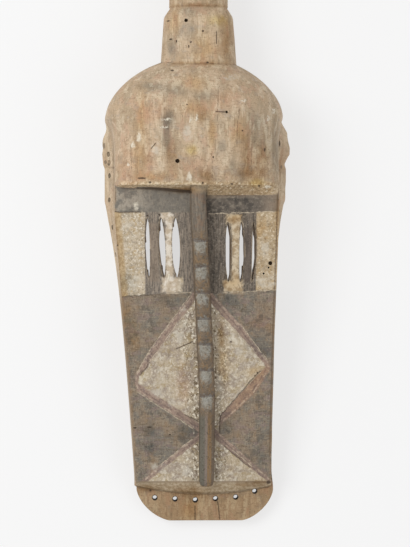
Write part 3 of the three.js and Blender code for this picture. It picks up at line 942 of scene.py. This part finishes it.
def near_line(p, q, width, on=None):
    """1 on a scratch that runs from p to q, 0 beside it."""
    length = math.hypot(q[0] - p[0], q[1] - p[1])
    beside = 1.0 - abs(line(p, q, on)).ramp(0.3 * width, width)
    along_x, along_y = (q[0] - p[0]) / length, (q[1] - p[1]) / length
    start_of = -(along_x * p[0] + along_y * p[1])
    along = (on or brushed).vector("DOT_PRODUCT", (along_x, along_y, start_of), output="Value")
    return beside * along.ramp(-1.0, 1.0) * (1.0 - along.ramp(length - 1.0, length + 1.0))


def spots(marks, on):
    """Distance from the nearest oval mark's middle, 1 on its edge; each has a place and half sizes."""
    closest = None
    for x, y, half_x, half_y in marks:
        scaled = on.vector("MULTIPLY_ADD", (1 / half_x, 1 / half_y, 0), (-x / half_x, -y / half_y, 0))
        distance = scaled.vector("LENGTH", output="Value")
        closest = distance if closest is None else closest.least(distance)
    return closest


from_edge = attribute("from_edge")
from_ridge = attribute("from_ridge")
from_opening = attribute("from_opening")
above_board = attribute("above_board")
on_ridge = attribute("on_ridge")
within = attribute("inside")
sunken = attribute("sunk")

grain = noise((1.6, 60.0, 4.0), 4.0, 0.6)
clouds = noise((22.0, 46.0, 22.0), 3.0, 0.55, 2.0)
mottle = noise(9.0, 4.0, 0.6, 4.0)
speckle = noise(1.5, 2.0, 0.6, 1.0)
crust = noise(3.4, 4.0, 0.65, 6.0)
specks = noise((2.4, 3.4, 2.4), 2.0, 0.6, 14.0)
crumbs = noise((2.6, 3.2, 2.6), 2.0, 0.6, 9.0)


def flecked(colour, pattern, low, high, share, over):
    """Lays a colour on another where a pattern rises from low to high."""
    return blend(pattern.ramp(low, high) * share, colour, tone(*over))


def two_tone(pattern, low, high, under, over):
    """One colour where a pattern is below low and the other where it is above high."""
    return blend(pattern.ramp(low, high), tone(*under), tone(*over))


def coats(colour, layers):
    """Lays blotches on a colour, each with its lumps' size, seed, range, share and own colour."""
    for cell, seed, low, high, share, over in layers:
        colour = flecked(colour, noise(cell, 4.0, 0.62, seed), low, high, share, over)
    return colour


# The finishes: a base colour, and coats over it as lumps' size and seed, range, share and colour.
WOOD = tone(197, 175, 148)
WOOD_COATS = [
    ((26, 44, 26), 2, 0.40, 0.58, 0.9, (182, 158, 129)),
    ((15, 19, 15), 20, 0.50, 0.62, 0.6, (168, 151, 127)),
    ((8, 38, 12), 35, 0.51, 0.58, 0.5, (162, 141, 113)),
    ((12, 24, 12), 33, 0.54, 0.60, 0.5, (190, 156, 130)),
    ((13, 12, 13), 12, 0.55, 0.66, 0.45, (163, 151, 138)),
    ((7, 22, 10), 4, 0.53, 0.60, 0.6, (212, 195, 168)),
    ((5, 3, 5), 46, 0.55, 0.67, 0.5, (152, 129, 103)),
    ((1.6, 50, 4), 0, 0.54, 0.70, 0.3, (148, 124, 100)),
    ((0.9, 16, 2), 5, 0.56, 0.68, 0.5, (124, 102, 79)),
    ((9, 0.9, 5), 51, 0.56, 0.66, 0.5, (136, 114, 88)),
    (2.2, 9, 0.58, 0.66, 0.5, (118, 95, 71)),
    (1.5, 1, 0.57, 0.66, 0.28, (220, 206, 182)),
]
DARK = tone(136, 119, 100)
DARK_COATS = [
    ((26, 30, 14), 7, 0.42, 0.56, 1, (119, 113, 103)),
    ((13, 20, 9), 8, 0.52, 0.64, 0.5, (146, 121, 92)),
    ((11, 16, 6), 17, 0.53, 0.61, 0.75, (98, 91, 82)),
    ((16, 10, 9), 23, 0.53, 0.60, 0.65, (133, 115, 108)),
    ((14, 3, 6), 91, 0.54, 0.64, 0.55, (108, 92, 74)),
    ((5, 4, 4), 27, 0.53, 0.65, 0.5, (154, 141, 122)),
    ((0.8, 20, 2), 5, 0.53, 0.64, 0.5, (94, 82, 68)),
    ((12, 0.9, 2), 3, 0.55, 0.65, 0.55, (160, 147, 127)),
    ((0.9, 10, 2), 13, 0.56, 0.66, 0.5, (160, 147, 127)),
    (2.4, 9, 0.57, 0.66, 0.6, (82, 71, 58)),
    (1.5, 1, 0.58, 0.67, 0.55, (172, 157, 136)),
]
WHITE = tone(181, 166, 143)
WHITE_COATS = [
    ((18, 15, 9), 40, 0.43, 0.57, 0.9, (157, 143, 129)),
    ((9, 12, 8), 44, 0.50, 0.62, 0.55, (186, 170, 145)),
    ((12, 9, 8), 4, 0.53, 0.63, 0.7, (160, 140, 103)),
    ((6, 7, 6), 47, 0.54, 0.63, 0.65, (208, 199, 182)),
    ((4, 3, 3), 6, 0.55, 0.65, 0.5, (214, 203, 183)),
    ((2.2, 5, 3), 61, 0.56, 0.66, 0.45, (128, 112, 88)),
    (1.5, 1, 0.58, 0.66, 0.5, (222, 213, 195)),
]
PANEL = tone(190, 175, 152)
PANEL_COATS = [
    ((9, 13, 9), 50, 0.42, 0.58, 0.8, (172, 156, 131)),
    (6, 54, 0.52, 0.62, 0.6, (182, 158, 121)),
    (3.2, 6, 0.51, 0.61, 0.6, (214, 203, 184)),
    (5, 57, 0.54, 0.64, 0.6, (150, 138, 122)),
    (2.3, 9, 0.57, 0.65, 0.8, (232, 225, 210)),
    ((2, 2.6, 2), 14, 0.56, 0.65, 0.6, (122, 104, 79)),
]
RED = tone(136, 117, 105)
RED_COATS = [
    (11, 4, 0.42, 0.58, 0.85, (158, 136, 121)),
    ((6, 6, 3), 71, 0.50, 0.62, 0.6, (121, 105, 101)),
    (3.4, 6, 0.52, 0.64, 0.6, (176, 157, 139)),
    ((2.2, 3.4, 2.2), 14, 0.55, 0.66, 0.55, (105, 87, 74)),
    (1.5, 1, 0.57, 0.68, 0.5, (188, 171, 152)),
]
ORANGE_TINT = tone(255, 244, 228)
# Lower facets of the teeth: brown paint, partly painted shade.
SHADED_BROWN_FACET = tone(122, 106, 89)
SHADED_BROWN_FACET_COATS = [
    ((6, 9, 6), 81, 0.44, 0.58, 0.75, (142, 117, 87)),
    ((5, 6, 5), 84, 0.52, 0.62, 0.7, (99, 94, 87)),
    ((0.9, 14, 2), 5, 0.52, 0.64, 0.4, (90, 78, 64)),
    (2.3, 9, 0.57, 0.66, 0.55, (82, 71, 58)),
    (1.5, 1, 0.57, 0.67, 0.55, (158, 146, 127)),
]
# Upper facets of the teeth: slate paint, partly painted light.
LIT_SLATE_FACET = tone(143, 140, 130)
LIT_SLATE_FACET_COATS = [
    (5, 86, 0.46, 0.58, 0.75, (156, 156, 149)),
    (3.6, 6, 0.53, 0.63, 0.7, (114, 105, 91)),
    (2.3, 9, 0.57, 0.66, 0.6, (100, 92, 80)),
    (1.5, 1, 0.57, 0.67, 0.5, (176, 171, 160)),
]


def white_paint():
    colour = coats(WHITE, WHITE_COATS)
    rough = 0.2 + 0.75 * (1.0 - abs(from_ridge).ramp(9.0, 34.0)) * mottle.ramp(0.3, 0.55)
    colour = flecked(colour, specks, 0.55, 0.61, rough, (112, 97, 74))
    return flecked(colour, crumbs, 0.57, 0.62, rough, (240, 232, 213))


# The outlines of the painted fields and the borders of the windows with the slits.
RHOMBUS = [
    (5, 262), (-51.2, 186.1), (-64.1, 163.3), (-66.5, 154.4), (-63.5, 143.1), (13, 92),
    (65.3, 142.4), (81.2, 168.3), (77.3, 176.8), (52.6, 210.4), (5, 262),
]
RHOMBUS_WHITE = [(5, 251.2), (-62.7, 156.5), (-62.7, 151.5), (13, 101.8), (76, 170.5), (5, 251.2)]
TRIANGLE = [(15.6, 106.8), (-67.6, 38), (90.8, 38), (15.6, 106.8)]
TRIANGLE_WHITE = [(13.6, 96.8), (-59.4, 38), (85.5, 38), (13.6, 96.8)]
WINDOW_LOW_LEFT = [(-90, 245.2), (-2, 250.8)]
WINDOW_LOW_RIGHT = [(20, 249.2), (92, 253.2)]
WINDOW_TOP_LEFT = [(-92, 336.2), (-2, 336.2)]
WINDOW_TOP_RIGHT = [(10, 334.4), (92, 337.3)]
LEFT_PANEL_TO = -55.4
RIGHT_PANEL_FROM = 64.0

left_half = 1.0 - x_here.ramp(4.0, 6.0)


def on_either_side(left, right):
    return left * left_half + right * (1.0 - left_half)


def with_shapes(colour):
    """Lays on the white rhombus and triangle in their red bands."""
    red = coats(RED, RED_COATS)
    white = white_paint()
    in_rhombus = outline(RHOMBUS)
    in_triangle = outline(TRIANGLE)
    colour = blend(cover(in_rhombus), colour, red)
    orange = x_here.ramp(20.0, 50.0) * (1.0 - y_here.ramp(166.0, 176.0)) * y_here.ramp(96.0, 108.0)
    colour = blend(orange * cover(in_rhombus), colour, tinted(red, ORANGE_TINT))
    field = cover(outline(RHOMBUS_WHITE)).most(cover(rectangle(17, 98, 26, 118)))
    colour = blend(field, colour, white)
    colour = blend(cover(in_triangle), colour, red)
    colour = blend(cover(outline(TRIANGLE_WHITE)), colour, white)
    # brush strokes along the bands, pale next to their outer edge and dark behind it
    depth_of_band = in_rhombus.most(in_triangle)
    pale_stroke = 0.6 * (1.0 - abs(depth_of_band - 1.4).ramp(0.3, 1.1))
    colour = flecked(colour, crust, 0.46, 0.58, pale_stroke, (190, 172, 152))
    dark_stroke = 0.55 * (1.0 - abs(depth_of_band - 3.6).ramp(0.3, 1.2))
    return flecked(colour, crumbs, 0.42, 0.56, dark_stroke, (106, 88, 80))


def grey_between_slits(streaks):
    """Grey drawn out in streaks, darker on the right, partly paint and partly painted shade from the
    ridge.
    """
    left = two_tone(streaks, 0.40, 0.60, (106, 98, 89), (148, 135, 121))
    right = two_tone(streaks, 0.40, 0.60, (80, 73, 66), (119, 108, 96))
    colour = blend(left_half, right, left)
    colour = flecked(colour, crust, 0.5, 0.64, 0.4, (142, 132, 118))
    colour = flecked(colour, specks, 0.55, 0.64, 0.5, (84, 76, 67))
    return flecked(colour, speckle, 0.57, 0.67, 0.5, (164, 154, 140))


def with_windows(colour, in_windows, streaks):
    """Lays on the streaked grey round the slits, the panels beside them and the bars between them."""
    colour = blend(in_windows, colour, grey_between_slits(streaks))
    panel = coats(PANEL, PANEL_COATS)
    ochre_panel = tinted(panel, tone(243, 236, 225))
    panels = (LEFT_PANEL_TO - x_here).most(x_here - RIGHT_PANEL_FROM)
    colour = blend(cover(panels) * in_windows, colour, blend(left_half, ochre_panel, panel))

    left_bar = rectangle(-34.0, 252, -25.6, 334, torn).most(rectangle(-39, 327, -27, 339, torn))
    left_bar = left_bar.most(rectangle(-37, 250, -15, 266, torn))
    right_bar = rectangle(37.6, 252, 46.7, 332, torn).most(rectangle(32, 324, 47.5, 334, torn))
    right_bar = right_bar.most(rectangle(29, 250, 50, 263, torn))
    bar_white = two_tone(mottle, 0.42, 0.58, (190, 173, 150), (220, 210, 195))
    bar_white = flecked(bar_white, specks, 0.55, 0.66, 0.45, (146, 128, 104))
    bar_brown = two_tone(mottle, 0.42, 0.58, (164, 142, 112), (202, 186, 160))
    bar_brown = flecked(bar_brown, specks, 0.55, 0.66, 0.5, (122, 102, 78))
    colour = blend(cover(left_bar, 2.0), colour, blend(x_here.ramp(-22.0, -16.0), bar_white, panel))
    colour = blend(cover(right_bar, 2.0), colour, bar_brown)
    left_dark_bar = cover(rectangle(-51.0, 262, -40.4, 325), 1.5)
    colour = blend(left_dark_bar * 0.35, colour, tone(134, 115, 97))
    right_dark_bar = cover(rectangle(51.0, 262, 61.5, 320), 1.5)
    return blend(right_dark_bar * 0.5, colour, tone(84, 72, 65))


def band_over_windows(streaks):
    """The grey band under the brow, pale at its left end and darkest just right of the ridge."""
    left = two_tone(mottle, 0.4, 0.58, (118, 113, 104), (160, 151, 137))
    left = flecked(left, x_here, -70.0, -40.0, 0.8, (116, 110, 101))
    right = two_tone(mottle, 0.42, 0.60, (78, 72, 66), (108, 99, 89))
    right = flecked(right, x_here, 62.0, 80.0, 1.0, (136, 121, 105))
    colour = blend(left_half, right, left)
    colour = flecked(colour, crust, 0.5, 0.62, 0.5, (146, 136, 121))
    colour = flecked(colour, specks, 0.55, 0.66, 0.4, (90, 82, 73))
    return flecked(colour, streaks, 0.54, 0.66, 0.3, (92, 84, 75))


def with_edge_wear_and_shade(colour, beside_windows):
    """Ochre on the left edge by the windows, wear along the edges, and painted shade along the right edge
    and round the cuts.
    """
    ochre = two_tone(crust, 0.42, 0.58, (160, 132, 92), (190, 165, 126))
    ochre_edge = (1.0 - from_edge.ramp(5.5, 9.5)) * left_half * beside_windows
    colour = blend(ochre_edge * 0.85, colour, ochre)
    worn_edge = 0.65 * (1.0 - from_edge.ramp(0.5, 4.0))
    colour = flecked(colour, mottle, 0.42, 0.56, worn_edge, (140, 114, 84))
    # painted shade along the board's right edge
    right_edge_shade = (1.0 - abs(from_edge - 2.6).ramp(0.3, 1.2)) * (1.0 - left_half)
    colour = flecked(colour, y_here, 60.0, 80.0, 0.7 * right_edge_shade, (96, 78, 60))
    # painted shade round the rims of the slits and holes
    cut_edge_shade = 0.9 * (1.0 - from_opening.ramp(0.2, 1.1))
    return flecked(colour, crust, 0.36, 0.54, cut_edge_shade, (52, 45, 38))


def paint_of_board():
    in_windows = cover(on_either_side(line(*WINDOW_LOW_LEFT), line(*WINDOW_LOW_RIGHT)))
    in_band = cover(on_either_side(line(*WINDOW_TOP_LEFT), line(*WINDOW_TOP_RIGHT)))
    streaks = noise((1.6, 26.0, 3.0), 4.0, 0.65, 7.0)
    colour = with_shapes(coats(DARK, DARK_COATS))
    colour = with_windows(colour, in_windows, streaks)
    colour = blend(in_band, colour, band_over_windows(streaks))
    return with_edge_wear_and_shade(colour, in_windows * (1.0 - in_band))


def teeth_of_ridge(past_teeth):
    """Each tooth is slate from the notch above it halfway down, where it faces the crown, then brown where
    it faces the chin: partly paint, partly painted light and shade; with a painted shadow at each notch.
    """
    brown = coats(SHADED_BROWN_FACET, SHADED_BROWN_FACET_COATS)
    slate = coats(LIT_SLATE_FACET, LIT_SLATE_FACET_COATS)
    on_teeth = y_here.ramp(KEEL_TO + 4, KEEL_TO + 12) * (1.0 - past_teeth)
    along = ((y_here - FIRST_NOTCH) / NOTCH_PITCH + 0.9 * (crust - 0.5)).fraction()
    ragged_side = abs(from_ridge + 0.8) + 9.0 * (crumbs - 0.5)
    facet = along.ramp(0.34, 0.66) * (1.0 - ragged_side.ramp(4.5, 7.5))
    colour = blend(facet * on_teeth * 0.85, brown, slate)
    # painted shadow under each notch
    notch = ((y_here - FIRST_NOTCH) / NOTCH_PITCH + 0.08 + 0.16 * (mottle - 0.5)).fraction()
    return blend((1.0 - notch.ramp(0.06, 0.16)) * on_teeth * 0.6, colour, tone(80, 71, 68))


def keel_of_ridge(streaks):
    """Green-grey, mauve, ochre and brown down the keel's faces, from left to right; the brown on the right
    side is painted shade.
    """
    colour = two_tone(from_ridge, -3.4, -2.0, (100, 96, 85), (126, 112, 102))
    colour = flecked(colour, from_ridge, -0.4, 0.6, 1.0, (140, 111, 76))
    # painted shade on the keel's right side
    colour = flecked(colour, from_ridge, 3.6, 5.4, 1.0, (104, 88, 72))
    colour = blend(streaks * 0.45, colour, tone(112, 104, 92))
    colour = flecked(colour, crumbs, 0.56, 0.68, 0.45, (88, 77, 63))
    return flecked(colour, speckle, 0.58, 0.68, 0.45, (146, 136, 120))


def top_of_ridge(streaks):
    """The plain top, with cream paint from the brow on its upper end."""
    colour = blend(streaks, tone(100, 91, 81), tone(130, 118, 103))
    colour = flecked(colour, mottle, 0.48, 0.62, 0.6, (130, 106, 86))
    colour = flecked(colour, crust, 0.5, 0.62, 0.5, (112, 108, 100))
    return flecked(colour, y_here, 354.0, 361.0, 0.55 + 0.45 * crust.ramp(0.4, 0.56), (163, 144, 116))


def paint_of_ridge():
    streaks = noise((1.6, 24.0, 3.0), 4.0, 0.62, 15.0).ramp(0.4, 0.62)
    on_keel = 1.0 - y_here.ramp(KEEL_TO - 4, KEEL_TO + 8)
    past_teeth = y_here.ramp(310.0, 322.0)
    colour = blend(on_keel, teeth_of_ridge(past_teeth), keel_of_ridge(streaks))
    colour = blend(past_teeth, colour, top_of_ridge(streaks))
    colour = flecked(colour, crumbs, 0.57, 0.66, 0.5, (80, 70, 60))
    # painted shade along both feet of the ridge, less on its plain top
    ridge_foot_shade = abs(from_ridge).ramp(6.8, 9.0) * (1.0 - 0.7 * past_teeth)
    return blend(ridge_foot_shade * 0.6, colour, tone(84, 74, 60))


def hollow_wood():
    """Dark, unpainted wood on the inside."""
    colour = two_tone(clouds, 0.42, 0.6, (150, 124, 96), (128, 104, 80))
    return flecked(colour, grain, 0.5, 0.66, 0.5, (96, 76, 58))


def with_slope_at_chin(colour):
    """Olive dirt on the slope from the board down to the flange, with painted shade at its foot."""
    over_flange = z_here - FLANGE_THICK
    slope = over_flange.ramp(0.4, 1.6) * (1.0 - y_here.ramp(CHIN_LEDGE - 0.6, CHIN_LEDGE + 1)) * faces_out
    olive = two_tone(crust, 0.42, 0.58, (156, 138, 110), (196, 181, 156))
    colour = blend(slope * (0.35 + 0.6 * mottle), colour, olive)
    # painted shade in the crease at the slope's foot
    return blend(slope * (0.6 - 0.6 * over_flange.ramp(1.6, 4.0)), colour, tone(98, 80, 58))


def with_cream_brow(colour):
    """Cream paint with dirt in it on the brow's overhang, browner on the right."""
    left = two_tone(crust, 0.42, 0.58, (172, 147, 113), (210, 191, 160))
    right = two_tone(crust, 0.42, 0.58, (156, 131, 99), (188, 164, 131))
    cream = blend(left_half, right, left)
    cream = flecked(cream, specks, 0.54, 0.64, 0.6, (120, 97, 66))
    cream = flecked(cream, crumbs, 0.57, 0.64, 0.6, (228, 214, 188))
    brow = y_here.ramp(BROW - 15, BROW - 12) * (1.0 - y_here.ramp(BROW + 1, BROW + 6))
    brow = brow * above_board.ramp(1.0, 3.0)
    return blend(brow * from_edge.ramp(2.0, 8.0), colour, cream)


def with_dirty_walls(colour):
    """Brown dirt on the side walls below the windows, with a ragged upper border."""
    dirt = two_tone(mottle, 0.36, 0.64, (122, 103, 83), (140, 119, 94))
    dirt = flecked(dirt, grain, 0.52, 0.68, 0.4, (98, 82, 66))
    below_windows = 1.0 - (y_here + 44.0 * (clouds - 0.5)).ramp(236.0, 268.0)
    walls = below_windows * y_here.ramp(40.0, 46.0) * not_above_board
    return blend(walls * (0.7 + 0.3 * crust.ramp(0.36, 0.54)), colour, dirt)


not_above_board = 1.0 - above_board.ramp(1.2, 2.6)
edge_of_paint = from_edge + 3.0 * (crust - 0.5)
on_board = y_here.ramp(CHIN_LEDGE - 0.6, CHIN_LEDGE + 0.8) * (1.0 - y_here.ramp(BROW + 1, BROW + 2))
painted = edge_of_paint.ramp(-0.4, 0.6) * not_above_board * faces_front * (1.0 - within) * on_board
# painted shade, with some dirt, on the walls of the slits and holes
hole_wall_shade = (1.0 - above_board.ramp(-1.6, -0.4)) * (1.0 - from_opening.ramp(0.4, 1.3)) * (1.0 - within)

on_flange = 1.0 - y_here.ramp(36.0, CHIN_LEDGE)
colour = tinted(coats(WOOD, WOOD_COATS), tone(214, 204, 189), on_flange)
colour = with_slope_at_chin(colour)
colour = with_cream_brow(colour)
colour = with_dirty_walls(colour)
colour = blend(painted, colour, paint_of_board())
colour = blend(on_ridge, colour, paint_of_ridge())
colour = blend(hole_wall_shade, colour, tone(60, 50, 40))
colour = blend(within, colour, hollow_wood())
colour = tinted(colour, attribute("stain", "Color"))

on_face = faces_front * (1.0 - within)
on_paint = painted * (1.0 - on_ridge)


def all_lines(stretches, width, on):
    found = near_line(*stretches[0], width, on)
    for p, q in stretches[1:]:
        found = found.most(near_line(p, q, width, on))
    return found


pale_lines = all_lines(PALE_LINES, 0.9, brushed) * on_paint * crust.ramp(0.34, 0.54)
dark_lines = all_lines(DARK_LINES, 0.9, brushed) * on_paint * crust.ramp(0.3, 0.5)
cracks = all_lines(CRACKS, 0.8, exact) * on_face
faint_cracks = all_lines(FAINT_CRACKS, 0.6, exact) * on_face * crust.ramp(0.44, 0.56)
dark_spots = (1.0 - spots(DARK_SPOTS, exact).ramp(0.6, 1.15)) * on_face
pale_spots = (1.0 - spots(PALE_SPOTS, torn).ramp(0.5, 1.2)) * on_face * (0.4 + 0.6 * crust.ramp(0.4, 0.54))
pale_patches = (1.0 - spots(PALE_PATCHES, torn).ramp(0.5, 1.3)) * on_face * mottle.ramp(0.4, 0.6)
colour = blend(pale_patches * 0.5, colour, tone(208, 201, 186))
colour = blend(pale_lines * 0.65, colour, tone(206, 190, 166))
colour = blend(dark_lines * 0.7, colour, tone(84, 70, 56))
colour = blend(cracks * 0.75, colour, tone(74, 58, 42))
colour = blend(faint_cracks * 0.5, colour, tone(104, 84, 64))
colour = blend(pale_spots * 0.85, colour, tone(224, 215, 196))
colour = blend(dark_spots * 0.85, colour, tone(62, 48, 36))
# dirt and painted shade in the creases
colour = flecked(colour, sunken, 0.12, 0.6, 0.8, (70, 55, 42))
# painted highlight on raised edges, weaker on the ridge
edge_highlight = (0.3 - 0.28 * on_ridge) * y_here.ramp(42.0, 46.0)
colour = flecked(colour, 0.0 - sunken, 0.1, 0.5, edge_highlight, (208, 188, 160))

lines_deep = pale_lines.most(dark_lines).most(cracks) + 0.5 * faint_cracks
relief = 0.9 * crust * painted + 0.4 * grain + 0.4 * mottle + 0.3 * speckle - 0.7 * lines_deep
relief = relief - 1.2 * dark_spots + 0.4 * pale_spots
bump = start.node("ShaderNodeBump", None, {"Height": relief, "Distance": MM, "Strength": 0.8})
for name, field in {"Base Color": colour, "Roughness": 0.62 + 0.3 * mottle, "Normal": bump}.items():
    wood.node_tree.links.new(field.socket, shader.inputs[name])
shader.inputs["Specular IOR Level"].default_value = 0.3

mask.data.materials.clear()
mask.data.materials.append(wood)
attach(mask, "root")
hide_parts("mask")

# The floor, the light and the camera.
bpy.ops.object.select_all(action="DESELECT")
bpy.ops.mesh.primitive_plane_add(size=8, location=(0, 0, 0))
floor = bpy.context.object
floor.name = "floor"
floor_paint = bpy.data.materials.new("floor_paint")
floor_paint.use_nodes = True
floor_shader = floor_paint.node_tree.nodes["Principled BSDF"]
floor_shader.inputs["Base Color"].default_value = (0.25, 0.25, 0.25, 1)
floor_shader.inputs["Roughness"].default_value = 0.9
floor_shader.inputs["Emission Color"].default_value = (1, 1, 1, 1)
floor_shader.inputs["Emission Strength"].default_value = 0.65
floor.data.materials.append(floor_paint)

world = bpy.data.worlds.new("studio")
bpy.context.scene.world = world
bpy.context.scene.view_settings.view_transform = "Standard"
world.use_nodes = True
world.node_tree.nodes["Background"].inputs["Color"].default_value = (1, 1, 1, 1)
world.node_tree.nodes["Background"].inputs["Strength"].default_value = 0.6


def soft_light(name, place, aim, size, power):
    data = bpy.data.lights.new(name, "AREA")
    data.shape = "SQUARE"
    data.size = size
    data.energy = power
    lamp = bpy.data.objects.new(name, data)
    lamp.location = place
    lamp.rotation_euler = (Vector(aim) - Vector(place)).to_track_quat("-Z", "Y").to_euler()
    bpy.context.scene.collection.objects.link(lamp)


soft_light("key", (-1.5, 0.6, 2.1), (0, 0, 0), 1.4, 36)
soft_light("fill", (1.8, -0.6, 2.0), (0, 0, 0), 1.8, 11)

# The camera looks straight down, a little from the left of the picture. The photograph's height is in
# pixels, one pixel being 1.08 mm at the depth of the face, and the aim is the place in its middle.
PHOTO_HEIGHT = 547
PIXEL = 1.08 * MM
FACE_LEVEL = 0.060
AIM_X = 9.5
AIM_Y = 270.7
DISTANCE = 3.0
YAW = math.radians(2.0)
SENSOR = 36.0
aim = Vector((AIM_X * MM + shift[0], AIM_Y * MM + shift[1], FACE_LEVEL))
camera_data = bpy.data.cameras.new("camera")
camera_data.sensor_width = SENSOR
camera_data.lens = SENSOR * DISTANCE / (PHOTO_HEIGHT * PIXEL)
camera = bpy.data.objects.new("camera", camera_data)
camera.location = aim + DISTANCE * Vector((-math.sin(YAW), 0, math.cos(YAW)))
camera.rotation_euler = (0, -YAW, 0)
bpy.context.scene.collection.objects.link(camera)
bpy.context.scene.camera = camera
